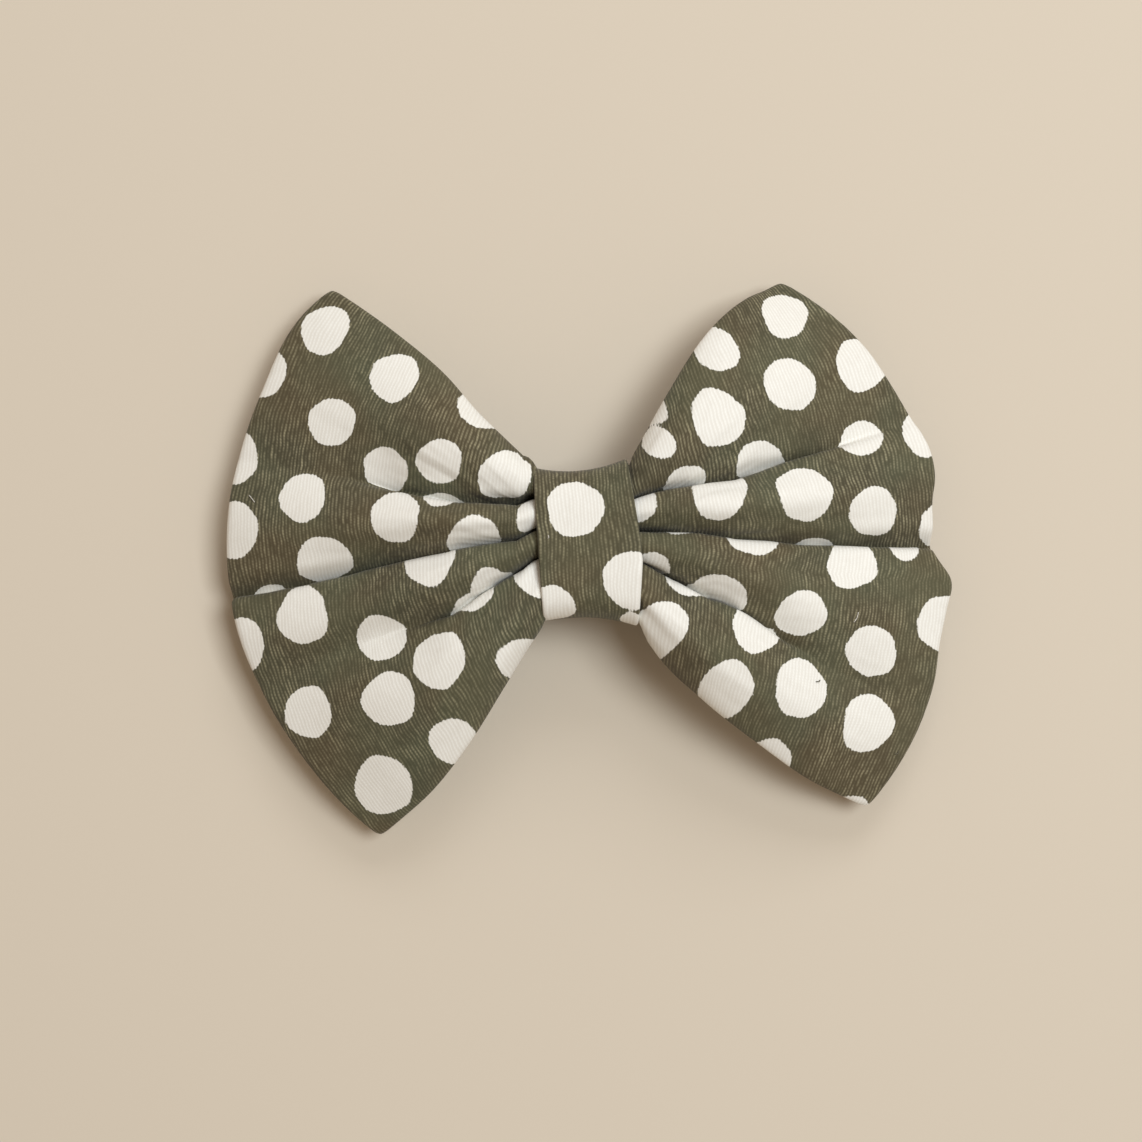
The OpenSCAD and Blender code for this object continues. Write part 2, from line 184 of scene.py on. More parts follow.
class Wing:
    """Plan and folds of one wing. knot and edge are its inner and outer ends in plan, lower side
    first. bows is how far its lower and upper sides swell out at each reach, and wander how far its
    outer end strays at each share. Its folds go from the lowest up, each with the line that its lip
    draws in plan and the length of cloth that it hides at each reach."""

    def __init__(self, knot, edge, bows, wander, folds):
        self.knot = np.array(knot, float)
        self.edge = edge
        self.bows = bows
        self.wander = wander
        self.folds = folds
        for fold in folds:
            fold["lip"] = sorted(self.seen(*point) for point in fold["line"])

    def plan(self, s, u):
        """Point at reach s and share u of the way across, as seen from above."""
        s, u = np.broadcast_arrays(np.asarray(s, float), np.asarray(u, float))
        knot = mix(self.knot[0], self.knot[1], u[..., None])
        point = mix(knot, arc(self.edge, u), s[..., None])
        point[..., 0] += math.copysign(1, self.edge[1][0]) * eased(self.wander, u) * s ** 4
        lower, upper = (eased(bow, s) for bow in self.bows)
        point[..., 1] += np.where(u > 0.5, upper, -lower) * abs(2 * u - 1) ** 5
        return point

    def locate(self, x, y):
        """Reach and share of a point in plan. It may lie a little outside the wing."""
        s, u = np.meshgrid(np.linspace(0, 1.15, 231), np.linspace(-0.08, 1.08, 465), indexing="ij")
        gap = np.linalg.norm(self.plan(s, u) - [x, y], axis=-1)
        i = np.unravel_index(np.argmin(gap), gap.shape)
        return float(s[i]), float(u[i])

    def seen(self, x, y):
        """Reach and share of the point on top of the cloth that the camera sees at (x, y)."""
        return self.locate(*under(x, y, crest(*self.locate(x, y))))

    def width(self, s):
        """Length of the wing across, in plan, at reach s."""
        return float(np.linalg.norm(np.diff(self.plan(s, np.linspace(0, 1, 60)), axis=0), axis=1).sum())

    def length(self, u):
        return float(np.linalg.norm(self.plan(1, u) - self.plan(0, u))) * 1.03


LEFT = Wing(
    knot=[(-7.6, -10.2), (-9.2, 15.2)],
    edge=[(BOW_LO[0] + 26.7, BOW_LO[1] - 0.5), (BOW_LO[0], 2), (BOW_LO[0] + 18, BOW_HI[1] - 0.3)],
    bows=([(0, 0), (0.13, 0.6), (0.28, 2), (0.44, 3.6), (0.67, 3.8), (0.87, 1.7), (1, 0)],
          [(0, 0), (0.15, 0.3), (0.28, 0.7), (0.44, 2.3), (0.67, 2.1), (0.87, 1), (1, 0)]),
    wander=[(0, 0.4), (0.19, -0.4), (0.3, 0), (0.42, 0.6), (0.6, 0.4), (0.8, 0), (0.95, 1.1), (1, 0.3)],
    folds=[
        dict(line=[(-9, 0), (-15, -3.5), (-19.5, -6.6), (-24, -9.6), (-31, -11.8), (-40, -14)],
             hidden=[(0, 23), (0.12, 17), (0.25, 9), (0.42, 4), (0.6, 1.5), (1, 0)]),
        dict(line=[(-9.5, 3.5), (-25, 1.4), (-42.5, -2.8), (-51, -4.7), (-63, -6.7)],
             hidden=[(0, 24), (0.15, 18), (0.3, 14), (0.6, 12), (0.87, 11), (1, 9.5)]),
        dict(line=[(-9.5, 9.3), (-23, 10), (-30, 11.1), (-36, 12.4), (-46, 15)],
             hidden=[(0, 23), (0.12, 17), (0.28, 11), (0.48, 6), (0.6, 3.5), (0.72, 1.5), (1, 0)]),
    ],
)
RIGHT = Wing(
    knot=[(8, -10.2), (6.6, 15.6)],
    edge=[(BOW_HI[0] - 14, BOW_LO[1] + 4.6), (BOW_HI[0], -4), (BOW_HI[0] - 30, BOW_HI[1] + 0.7)],
    bows=([(0, 0.8), (0.1, 3.5), (0.28, 4.6), (0.5, 4.5), (0.75, 3.4), (0.9, 1.4), (1, 0)],
          [(0, 0.3), (0.07, 1.5), (0.27, 4.6), (0.47, 6.6), (0.77, 4.4), (0.9, 1.8), (1, 0)]),
    wander=[(0, -0.4), (0.24, -0.4), (0.3, -1), (0.36, -0.5), (0.405, 0.2), (0.455, -2.6),
            (0.5, -2.1), (0.54, -1.4), (0.58, 0.2), (0.63, 1.1), (0.7, 0.4), (0.76, 0.5), (0.82, 1),
            (0.94, 0.9), (1, 0.3)],
    folds=[
        dict(line=[(9, -0.8), (14.5, -3.5), (21, -7), (27, -9.5), (34, -14.5), (42, -19)],
             hidden=[(0, 23), (0.12, 17), (0.25, 10), (0.5, 4.5), (0.65, 1.5), (1, 0)]),
        dict(line=[(8, 4.8), (25.5, 3.6), (37, 2.7), (49.5, 2.3), (61, 2)],
             hidden=[(0, 24), (0.15, 18), (0.3, 14), (0.6, 12), (0.87, 11.5), (1, 10)]),
        dict(line=[(8, 10.6), (17.5, 12.9), (25.5, 14.1), (34.5, 17.1), (43, 19.6), (54, 23.5)],
             hidden=[(0, 23), (0.12, 17), (0.3, 12), (0.55, 8), (0.75, 5), (1, 2)]),
    ],
)


def tuck(hidden, over, rise, crown):
    """Runs (length, angle at start, angle at end) of the cloth hidden in one tuck, and how far along
    it the lip is. The cloth rolls over from the lobe below, goes back under it, turns, and comes out
    under the lobe above."""
    share = np.clip((hidden / (2 * ROLL) - crown) / (over + rise - 2 * crown), 0, 1)
    a, b = mix(crown, over, share), mix(crown, rise, share)
    spare = max(hidden - 2 * ROLL * (a + b - crown), 0)
    down = (spare * math.sin(b) - 2 * ROLL * (math.cos(b) - math.cos(a))) / (math.sin(a) + math.sin(b))
    down = min(max(down, 0), spare)
    runs = [(ROLL * (a - crown), -crown, -a), (down, -a, -a), (ROLL * (a + b), -a, b),
            (spare - down, b, b), (ROLL * (b - crown), b, crown)]
    return runs, ROLL * (min(a, math.pi / 2) - crown)


SAMPLES = 1400                   # points along one section
BEND_SOFT = 0.4                  # length over which the cloth eases from one run into the next


def section(wing, s):
    """The cloth's path across the wing at reach s."""
    width = wing.width(s)
    shares = [through(fold["lip"], s) for fold in wing.folds] + [1.0]
    aims = np.array(shares) * width - [CLOTH_HALF, CLOTH_HALF, CLOTH_HALF, 0]
    hidden = [through(fold["hidden"], s) for fold in wing.folds]
    crown = through([(0, 0.35), (0.2, 0.5), (0.5, 0.4), (0.8, 0.24), (1, 0.12)], s)
    over = through([(0, 1.72), (0.3, 2.2), (1, 2.3)], s)
    rise = through([(0, 1.4), (0.3, 0.95), (1, 0.8)], s)
    lobes = np.maximum(np.diff([0, *aims]) - 1, 1)
    for _ in range(7):
        runs, marks, lips = [], [], []
        place = 0
        for k, lobe in enumerate(lobes):
            runs.append((lobe, crown, -crown))
            marks.append((place, place + lobe))
            place += lobe
            if k < 3:
                folded, lip = tuck(max(hidden[k], 2 * ROLL * crown), over, rise, crown)
                runs += folded
                lips.append(place + lip)
                place = sum(run[0] for run in runs)
        lips = np.array(lips + [place])
        stops = np.cumsum([0] + [run[0] for run in runs])
        at = np.linspace(0, stops[-1], SAMPLES)
        knots = np.repeat(stops, 2)[1:-1] + np.tile([1e-6, -1e-6], len(runs))
        angle = np.interp(at, knots, [value for run in runs for value in run[1:]])
        pitch = stops[-1] / (SAMPLES - 1)
        reach = int(3 * BEND_SOFT / pitch)
        kernel = np.exp(-0.5 * (np.arange(-reach, reach + 1) * pitch / BEND_SOFT) ** 2)
        angle = np.convolve(np.pad(angle, reach, mode="edge"), kernel / kernel.sum(), mode="valid")
        y, z = (np.concatenate([[0], np.cumsum(part(angle[1:]) * pitch)]) for part in (np.cos, np.sin))
        y_lips = np.interp(lips, at, y)
        lobes = np.maximum(lobes + np.diff([0, *(aims - y_lips)]), 0.6)
    middles = [(start + end) / 2 for start, end in marks]
    z = z - np.interp(at, middles, np.interp(middles, at, z))
    inside = sum(np.where((at > a) & (at < b), np.sin(math.pi * (at - a) / (b - a)) ** 2, 0)
                 for a, b in marks)
    return dict(at=at, u=y / width, z=z, inside=inside, lips=lips, shares=shares, aims=aims, width=width,
                total=stops[-1])


def spaced(total, scale):
    """Places from 0 to 1 along total, closer together at the far end."""
    edge = 1 - np.array(EDGE_STEPS) * scale / total
    even = np.linspace(0, edge[-1], int(edge[-1] * total / STEP), endpoint=False)
    return np.concatenate([even, edge[::-1]])


REACHES = spaced(WING_LENGTH, 1)
half_way = spaced(PANEL_FLAT[1] / 2, 1) / 2 + 0.5
SHARES = np.concatenate([1 - half_way[::-1], half_way[1:]])


def edge_round(distance, radius=1.3):
    return np.sqrt(1 - (1 - np.clip(distance / radius, 0, 1)) ** 2)


def sweep(wing, seed):
    """The middle of the cloth over a wing, and what the panels need to know along it."""
    cuts = [section(wing, s) for s in REACHES]
    at = np.array([SHARES * cut["total"] for cut in cuts])
    pick = lambda key: np.array([np.interp(a, cut["at"], cut[key]) for a, cut in zip(at, cuts)])
    u, z, inside = pick("u"), pick("z"), pick("inside")
    s = np.broadcast_to(REACHES[:, None], u.shape)
    total = np.array([cut["total"] for cut in cuts])[:, None]

    side = np.minimum(at, total - at)
    end = (1 - s) * WING_LENGTH
    corner = np.clip(1 - np.hypot(end, side) / 2.6, 0, 1)[..., None] ** 2
    plan = mix(wing.plan(s, u), wing.plan(0.6, 0.5), 0.008 * corner)
    curl = mix(3.2, 0.2, smooth(s / 0.8)) * (1 - np.clip(side / 6, 0, 1)) ** 2
    calm = 0.75 * noise(u * 5, s * 3.2, seed) + 0.4 * noise(u * 12, s * 2.2, seed + 4) * (1 - 0.6 * s)
    calm = calm * np.sin(math.pi * s)
    middle = np.concatenate([plan, (crest(s, u) + z - curl + calm)[..., None]], -1)

    pull = 0.34 * np.exp(-s / 0.28) * noise(SHARES * 46, s * 3, seed + 1)
    pull = pull + 0.16 * np.exp(-s / 0.5) * noise(SHARES * 90, s * 5, seed + 2)
    pull = pull + 0.10 * noise(SHARES * 16, s * 9, seed + 3)
    pucker = 0.05 * np.sin(TAU * at / 2.6) * np.exp(-(end / 1.5) ** 2)
    across = np.linspace(0, 1, 21)
    lengths = np.interp(u, across, [wing.length(v) for v in across])
    return dict(middle=middle, at=at, inside=inside, s=s, cuts=cuts, along=s * lengths,
                bump=(pull + pucker) * edge_round(end, 2.5) * edge_round(side, 2.5),
                rim=edge_round(end) * edge_round(side))


WAIST = np.linspace(-6, 6, 9)    # places between the wings, where the thread draws the cloth in
WAIST_DRAW = 0.145               # how much it is drawn in
WAIST_MIDDLE = (2.3, 16.9)       # and towards which y and z


def joined(left, right, key):
    """One array over both wings, from the left edge to the right, with the waist between them."""
    a, b = left[key][::-1], right[key]
    t = np.linspace(0, 1, len(WAIST) + 2)[1:-1]
    between = np.array([mix(a[-1], b[0], v) for v in t])
    return np.concatenate([a, between, b])


def keep_off_clip(middle):
    """Flattens the back of the gathers where it would reach the clip and its glue."""
    soft = 0.5
    x, y, z = np.moveaxis(middle, -1, 0)
    lowest = GLUE_HI[2] + CLOTH_HALF + 0.35
    lifted = lowest + soft * np.logaddexp(0, (z - lowest) / soft)
    near = (1 - smooth((abs(x) - 24) / 10)) * (1 - smooth((abs(y - CLIP_Y) - 7) / 5))
    middle[..., 2] = mix(z, lifted, near)


BAND_MIDDLE = (-0.5, 2.6)
BAND_TURN = math.radians(4)
BAND_HALF_W = 8.3
GATHERS_Z = 16.5                 # middle of the gathers inside the band


def turned(x, y, angle):
    return math.cos(angle) * x - math.sin(angle) * y, math.sin(angle) * x + math.cos(angle) * y


def band_halves(x):
    """How far the band reaches down and up from its middle, at a place across it."""
    return 11.8 + 0.016 * (x + 4) ** 2, 12.3 + 0.019 * (x + 1) ** 2


def keep_in_band(middle):
    """Presses the gathers together where they would reach through the band, and a little more
    where the thread is wound round them."""
    x, y = turned(middle[..., 0] - BAND_MIDDLE[0], middle[..., 1] - BAND_MIDDLE[1], -BAND_TURN)
    lower, upper = band_halves(x)
    thread = 0.45 * np.exp(-(x / 2.8) ** 4)
    wide = 0.94 * np.where(y > 0, upper, lower) - CLOTH_HALF - thread
    high = 5.4 + 0.3 * (x / BAND_HALF_W) ** 2 - thread
    rise = middle[..., 2] - GATHERS_Z
    share = ((y / wide) ** 4 + (np.maximum(rise, 0) / high) ** 4) ** 0.25
    soft = 0.06
    pressed = 1 - soft * np.logaddexp(0, (share - 1) / soft) / np.maximum(share, 0.5)
    scale = mix(1, pressed, 1 - smooth((abs(x) - 7.6) / 2))
    x, y = turned(x, y * scale, BAND_TURN)
    middle[..., 0] = BAND_MIDDLE[0] + x
    middle[..., 1] = BAND_MIDDLE[1] + y
    middle[..., 2] = GATHERS_Z + np.where(rise > 0, rise * scale, rise)


def cloth():
    """Everything about the gathered cloth, over one grid from the left side to the right side."""
    left, right = sweep(LEFT, 11), sweep(RIGHT, 23)
    left["along"] = -7 - left["along"]
    right["along"] = 7 + right["along"]
    grid = {key: joined(left, right, key) for key in ("middle", "bump", "rim", "inside", "along", "s")}
    rows = slice(len(REACHES), len(REACHES) + len(WAIST))
    draw = 1 - WAIST_DRAW * np.cos(WAIST / 7 * math.pi / 2)[:, None]
    waist = grid["middle"][rows]
    for axis, centre in enumerate(WAIST_MIDDLE, 1):
        waist[..., axis] = centre + (waist[..., axis] - centre) * draw
    keep_off_clip(grid["middle"])
    keep_in_band(grid["middle"])
    along, across = (np.gradient(grid["middle"], axis=axis) for axis in (0, 1))
    normal = np.cross(along, across)
    grid["normal"] = normal / np.linalg.norm(normal, axis=-1, keepdims=True)
    grid["across"] = np.broadcast_to((SHARES - 0.5) * PANEL_FLAT[1], grid["along"].shape)
    return grid, left, right


# ---- dots ----

# Each dot is (x, y, radius) in plan, and for one whose middle is folded away, how much further up
# the cloth that middle is.
LEFT_DOTS = [
    (-46.5, 40.3, 4.3), (-34.3, 31.7, 4.2), (-45, 24.5, 4.2), (-35.7, 16.2, 4.2), (-26.2, 17.4, 3.8),
    (-50.1, 10.8, 4.2), (-34, 6.8, 4.2), (-46.8, 0.1, 4.8), (-50, -10.4, 4.7), (-28, -0.5, 4.6),
    (-36.5, -13.5, 4.6), (-25.9, -17.9, 4.6), (-34.9, -24, 4.6), (-49.3, -26.5, 4.4), (-24.2, -31.8, 3.8),
    (-36.5, -39, 5.2), (-57.5, 33.5, 4.7), (-62.5, 18, 4.6), (-62.5, 5.5, 4.9), (-61.5, -15.5, 4.8),
    (-18.8, 26.8, 4.5), (-15.2, 14.5, 4.2), (-20.5, 2.9, 4.6, -0.6), (-9.8, 6.4, 2.9), (-9, -3.5, 3.8),
    (-11.5, -18.3, 4.2), (-25.5, 12.5, 4.2, -5), (-17.6, -4.6, 3.8, -1), (-20.2, -9, 4.4, 3.4),
    (-56.8, -4.6, 3, -2.6),
]
RIGHT_DOTS = [
    (34, 42.8, 3.9), (22.4, 36.8, 3.4), (47.2, 34.8, 4.9), (34.5, 30.8, 4.5), (22.3, 24.5, 4.5),
    (10.6, 27.8, 2.9), (12.4, 20.3, 2.5), (47.5, 21.3, 4), (58.8, 22, 4.1), (30, 17.2, 4.5),
    (17, 13.4, 3.9), (37.5, 11, 4.9), (22.8, 11.2, 4.8), (49.5, 8.5, 4.4), (62.5, 6.5, 4.7),
    (8.6, 9.6, 3.3), (29, 2.5, 5, 2), (16.9, 4, 4.3, 3.6), (39.5, 3.7, 4.1, -4.4),
    (56.3, 0.6, 3, 1.6), (46, -1.5, 4.6), (11, -0.8, 3.4, -1.4), (18.2, -5.4, 5.2, 2.8),
    (22.5, -6.5, 4.9, -0.5), (12.6, -12.8, 4.1), (29.1, -12.6, 4.5), (36.8, -9.6, 4.3), (49.2, -16.2, 4.6),
    (62, -11.6, 5), (23.7, -23.2, 4.3), (36.4, -22.6, 4.7), (48.6, -28.5, 4.8), (31.7, -35.9, 3.7),
    (46.5, -44.5, 3.5),
]
BAND_DOTS = [(-2.5, 9, 4.9), (7, -3.5, 4.6), (-7, -9, 4.4), (7.5, -11, 2.6)]
FAR_OUT = -50.0                  # depth inside a dot, for a point far outside all of them


def dot_depth(ahead, aside, radius, rng):
    """How far inside a dot each point is, given its offset from the dot's middle. The dot's outline
    is a little uneven, as if painted by hand."""
    angle = np.arctan2(aside, ahead)
    for waves, size in ((2, 0.035), (3, 0.03), (5, 0.018), (8, 0.01)):
        radius = radius * (1 + size * rng.uniform(0.5, 1.2) * np.sin(waves * angle + rng.uniform(0, TAU)))
    return radius - np.hypot(ahead, aside)


def front_dots(wing, swept, dots, seed):
    """How far inside a dot each point of a wing is. A dot sits at the same distance from the lip of
    its lobe as the camera sees it."""
    rng = np.random.default_rng(seed)
    lips, shares, aims, widths = (np.array([cut[key] for cut in swept["cuts"]])
                                  for key in ("lips", "shares", "aims", "width"))
    depth = np.full(swept["at"].shape, FAR_OUT)
    for x, y, radius, *further in dots:
        s0, u0 = wing.seen(x, y)
        row = np.argmin(abs(REACHES - s0))
        lobe = min(int((u0 > shares[row]).sum()), 3)
        ray = lips[:, lobe] - (aims[:, lobe] - u0 * widths) * 1.03 + sum(further)
        outwards = np.subtract(*wing.plan([s0 + 0.01, s0 - 0.01], u0)) / 0.02
        across = np.subtract(*wing.plan(s0, [u0 + 0.01, u0 - 0.01]))
        lean = outwards @ across / np.linalg.norm(across)
        straight = math.sqrt(outwards @ outwards - lean ** 2)
        ahead = (REACHES[:, None] - s0) * straight
        aside = swept["at"] - ray[:, None] + (REACHES[:, None] - s0) * lean
        depth = np.maximum(depth, dot_depth(ahead, aside, radius, rng))
    return depth


def scattered_dots(along, across, seed, bare=(0, 0), pitch=13.5):
    """Dots on the cloth that the front view doesn't reach: a jittered lattice in the cloth itself,
    without the dots whose middle lies between two places across it."""
    rng = np.random.default_rng(seed)
    depth = np.full(along.shape, FAR_OUT)
    for i in range(-6, 7):
        for j in range(-6, 7):
            x = (i + 0.5 * (j % 2)) * pitch + rng.uniform(-1.8, 1.8)
            y = j * pitch * 0.87 + rng.uniform(-1.8, 1.8)
            dot = dot_depth(along - x, across - y, rng.uniform(4.2, 4.9), rng)
            if not bare[0] < y < bare[1]:
                depth = np.maximum(depth, dot)
    return depth


# ---- making pieces ----


def add_object(name, data):
    made = bpy.data.objects.new(name, data)
    bpy.context.scene.collection.objects.link(made)
    return made


def make_mesh(name, points, faces, material, cloth_values=None):
    """A smooth-shaded piece. points are in millimetres."""
    mesh = bpy.data.meshes.new(name)
    mesh.from_pydata((np.asarray(points) * MM).tolist(), [], faces)
    mesh.polygons.foreach_set("use_smooth", [True] * len(mesh.polygons))
    if cloth_values is not None:
        layer = mesh.attributes.new("cloth", "FLOAT_VECTOR", "POINT")
        layer.data.foreach_set("vector", np.asarray(cloth_values, np.float32).ravel())
    mesh.materials.append(material)
    mesh.update()
    return add_object(name, mesh)


def grid_faces(rows, cols, close_rows=False, close_cols=False):
    faces = []
    for i in range(rows if close_rows else rows - 1):
        for j in range(cols if close_cols else cols - 1):
            here, above = i * cols, (i + 1) % rows * cols
            right = (j + 1) % cols
            faces.append((here + j, above + j, above + right, here + right))
    return faces


def ring_faces(rings, sides, closed=False):
    """Faces over a row of rings, with both ends closed off unless the last ring joins the first."""
    faces = [face[::-1] for face in grid_faces(rings, sides, close_rows=closed, close_cols=True)]
    if not closed:
        faces += [tuple(range(sides))[::-1], tuple((rings - 1) * sides + k for k in range(sides))]
    return faces


def tube(name, path, radius, material, sides=10, closed=False):
    """A round cord along a path. Its cloth values are the length along it and the way round it."""
    path = np.asarray(path, float)
    if closed:
        along = np.roll(path, -1, 0) - np.roll(path, 1, 0)
    else:
        along = np.gradient(path, axis=0)
    along /= np.linalg.norm(along, axis=1, keepdims=True)
    side = np.empty_like(along)
    last = np.cross(along[0], [0.31, 0.52, 0.79])
    for k, direction in enumerate(along):
        last = last - direction * (last @ direction)
        side[k] = last = last / np.linalg.norm(last)
    up = np.cross(along, side)
    turn = np.arange(sides) / sides * TAU
    round_it = np.cos(turn)[:, None] * side[:, None] + np.sin(turn)[:, None] * up[:, None]
    ring = path[:, None] + radius * round_it
    values = np.stack(np.broadcast_arrays(run_along(path)[:, None], turn, 0.0), -1).reshape(-1, 3)
    return make_mesh(name, ring.reshape(-1, 3), ring_faces(len(path), sides, closed), material, values)


def shell(name, outer, inner, material, values=None):
    """A closed sheet between two grids of points. values belong to the outer one."""
    rows, cols = outer.shape[:2]
    half = rows * cols
    faces = grid_faces(rows, cols)
    faces += [tuple(half + v for v in face[::-1]) for face in faces]
    rim = rim_of(np.arange(half).reshape(rows, cols)).tolist()
    faces += [(a, b, half + b, half + a) for a, b in zip(rim, rim[1:] + rim[:1])]
    points = np.concatenate([outer.reshape(-1, 3), inner.reshape(-1, 3)])
    if values is not None:
        values = np.concatenate([values.reshape(-1, 3)] * 2)
    return make_mesh(name, points, faces, material, values)


def spline(points, step):
    """A smooth curve through points, sampled every step."""
    points = np.asarray(points, float)
    points = np.concatenate([2 * points[:1] - points[1:2], points, 2 * points[-1:] - points[-2:-1]])
    t = np.linspace(0, 1, 24, endpoint=False)[:, None]
    runs = [b + t / 2 * (c - a + t * (2 * a - 5 * b + 4 * c - d + t * (3 * (b - c) + d - a)))
            for a, b, c, d in zip(points, points[1:], points[2:], points[3:])]
    return resampled(np.concatenate([*runs, points[-2:-1]]), step)


def resampled(path, step):
    path = np.asarray(path, float)
    run = run_along(path)
    at = np.linspace(0, run[-1], max(int(run[-1] / step), 2) + 1)
    return np.stack([np.interp(at, run, path[:, k]) for k in range(path.shape[1])], -1)


# ---- materials ----


def srgb(red, green, blue):
    """A colour given as it looks on a screen, from 0 to 255, as the renderer needs it."""
    value = np.array([red, green, blue]) / 255
    return (*np.where(value <= 0.04045, value / 12.92, ((value + 0.055) / 1.055) ** 2.4), 1.0)


class Shader:
    """A material with one Principled shader, and short calls for the nodes that feed it."""

    def __init__(self, name, roughness, metallic=0.0, **sockets):
        self.material = bpy.data.materials.new(name)
        self.material.use_nodes = True
        self.nodes = self.material.node_tree.nodes
        self.links = self.material.node_tree.links
        self.surface = self.nodes["Principled BSDF"]
        for socket, value in dict(Roughness=roughness, Metallic=metallic, **sockets).items():
            self.surface.inputs[socket.replace("_", " ")].default_value = value

    def put(self, socket, value):
        if isinstance(value, bpy.types.NodeSocket):
            self.links.new(value, socket)
        else:
            socket.default_value = value

    def node(self, kind, inputs, **settings):
        """A new node. inputs are values for its first sockets, or for sockets by their name or number."""
        made = self.nodes.new("ShaderNode" + kind)
        for setting, value in settings.items():
            setattr(made, setting, value)
        for socket, value in inputs.items() if isinstance(inputs, dict) else enumerate(inputs):
            self.put(made.inputs[socket], value)
        return made

    def math(self, operation, *values):
        return self.node("Math", values, operation=operation).outputs[0]

    def add(self, a, b):
        return self.math("ADD", a, b)

    def times(self, a, b):
        return self.math("MULTIPLY", a, b)

    def wave(self, value):
        """From 0 to 1 and back for each whole step of value."""
        return self.add(self.times(self.math("COSINE", self.times(value, TAU)), 0.5), 0.5)

    def vector(self, x, y, z=0.0):
        return self.node("CombineXYZ", (x, y, z)).outputs[0]

    def parts(self, vector):
        return self.node("SeparateXYZ", [vector]).outputs[:3]

    def attribute(self, name):
        return self.node("Attribute", [], attribute_name=name).outputs["Vector"]

    def place(self):
        """The point in the object's own space, in millimetres."""
        metres = self.node("TexCoord", []).outputs["Object"]
        return self.node("VectorMath", {0: metres, "Scale": 1 / MM}, operation="SCALE").outputs[0]

    def noise(self, vector, scale, detail=2.0, rough=0.5):
        inputs = dict(Vector=vector, Scale=scale, Detail=detail, Roughness=rough)
        return self.node("TexNoise", inputs).outputs[0]

    def sway(self, vector, scale, size, detail=2.0):
        """Noise on both sides of zero."""
        return self.times(self.add(self.noise(vector, scale, detail), -0.5), size)

    def random(self, value):
        return self.node("TexWhiteNoise", dict(W=value), noise_dimensions="1D").outputs["Value"]

    def span(self, value, low, high, to_low=0.0, to_high=1.0, kind="LINEAR"):
        inputs = (value, low, high, to_low, to_high)
        return self.node("MapRange", inputs, interpolation_type=kind).outputs[0]

    def blend(self, share, a, b):
        return self.node("Mix", {0: share, 6: a, 7: b}, data_type="RGBA").outputs[2]

    def finish(self, colour, height=None, depth=0.05, strength=1.0, roughness=None):
        self.put(self.surface.inputs["Base Color"], colour)
        if roughness is not None:
            self.put(self.surface.inputs["Roughness"], roughness)
        if height is not None:
            bump = self.node("Bump", dict(Strength=strength, Distance=depth * MM, Height=height))
            self.put(self.surface.inputs["Normal"], bump.outputs[0])
        return self.material


OLIVE_DARK = srgb(69, 65, 46)
OLIVE_LIGHT = srgb(156, 150, 122)
OLIVE_WARM = srgb(104, 84, 54)
OLIVE_GREEN = srgb(88, 98, 74)
DOT_DARK = srgb(226, 224, 217)
DOT_LIGHT = srgb(245, 246, 242)


def printed_cotton():
    """Plain-weave cotton, olive with off-white printed dots. The threads lie along and across it. Their
    crowns are painted paler and the gaps between them darker, on the olive and on the dots: painted highlight
    and shade, besides the yarn's own pale slubs.
    """
    m = Shader("printed_cotton", 0.86, Sheen_Weight=0.1, Sheen_Roughness=0.5)
    p, q, dot = m.parts(m.attribute("cloth"))
    flat = m.vector(p, q)
    for scale, sway in ((0.07, 2.4), (0.3, 0.5), (1.1, 0.14)):
        p = m.add(p, m.sway(flat, scale, sway))
    q = m.add(q, m.sway(flat, 0.09, 1.2))
    thread = m.times(p, 1 / THREAD_P)
    number = m.math("FLOOR", m.add(thread, 0.5))
    ridge = m.math("POWER", m.wave(thread), 1.4)
    beads = m.wave(m.add(m.times(q, 1 / THREAD_Q), m.times(number, 0.5)))
    weave = m.times(ridge, m.add(m.times(beads, 0.4), 0.6))
    dashes = m.noise(m.vector(m.times(number, 7.3), m.times(q, 0.42)), 1.0, 3.0, 0.65)
    patch = m.noise(flat, 0.13, 3.0, 0.6)
    shown = m.times(m.span(dashes, 0.36, 0.62), m.span(patch, 0.3, 0.66, 0.35, 1.2))
    shown = m.times(shown, m.span(m.random(number), 0.0, 1.0, 0.7, 1.15))
    # Painted highlight and shade: each thread's crown is paler and the gap beside it darker, on top of the
    # pale slub dashes that the yarn really has.
    light = m.times(weave, m.add(m.times(shown, 0.9), 0.08))
    olive = m.blend(m.span(light, 0.0, 0.85), OLIVE_DARK, OLIVE_LIGHT)
    olive = m.blend(m.times(m.span(m.noise(flat, 0.045, 2.0), 0.4, 0.6), 0.24), olive, OLIVE_WARM)
    green_patch = m.noise(m.vector(m.add(p, 71.0), q), 0.05, 2.0)
    olive = m.blend(m.times(m.span(green_patch, 0.42, 0.62), 0.3), olive, OLIVE_GREEN)
    # The dots are paler on the thread crowns and darker in the gaps: partly painted shade, partly ink that
    # misses the gaps, and paler where slubs show.
    white = m.blend(m.span(m.add(m.times(weave, 0.5), m.times(dashes, 0.5)), 0.1, 0.8), DOT_DARK, DOT_LIGHT)
    ragged = m.add(m.sway(flat, 1.3, 0.55, 3.0), m.times(m.add(weave, -0.4), 0.1))
    ink = m.span(m.add(dot, ragged), -0.09, 0.09, kind="SMOOTHSTEP")
    height = m.times(m.add(weave, m.times(m.noise(flat, 6.0, 2.0), 0.6)), m.span(ink, 0.0, 1.0, 1.0, 0.4))
    return m.finish(m.blend(ink, olive, white), height, depth=0.06, strength=0.7)


def felt():
    """Fused non-woven interfacing."""
    m = Shader("interfacing_felt", 0.95)
    fibres = m.noise(m.place(), 2.2, 5.0, 0.7)
    return m.finish(m.blend(m.span(fibres, 0.3, 0.7), srgb(220, 216, 206), srgb(245, 243, 238)), fibres, 0.05)


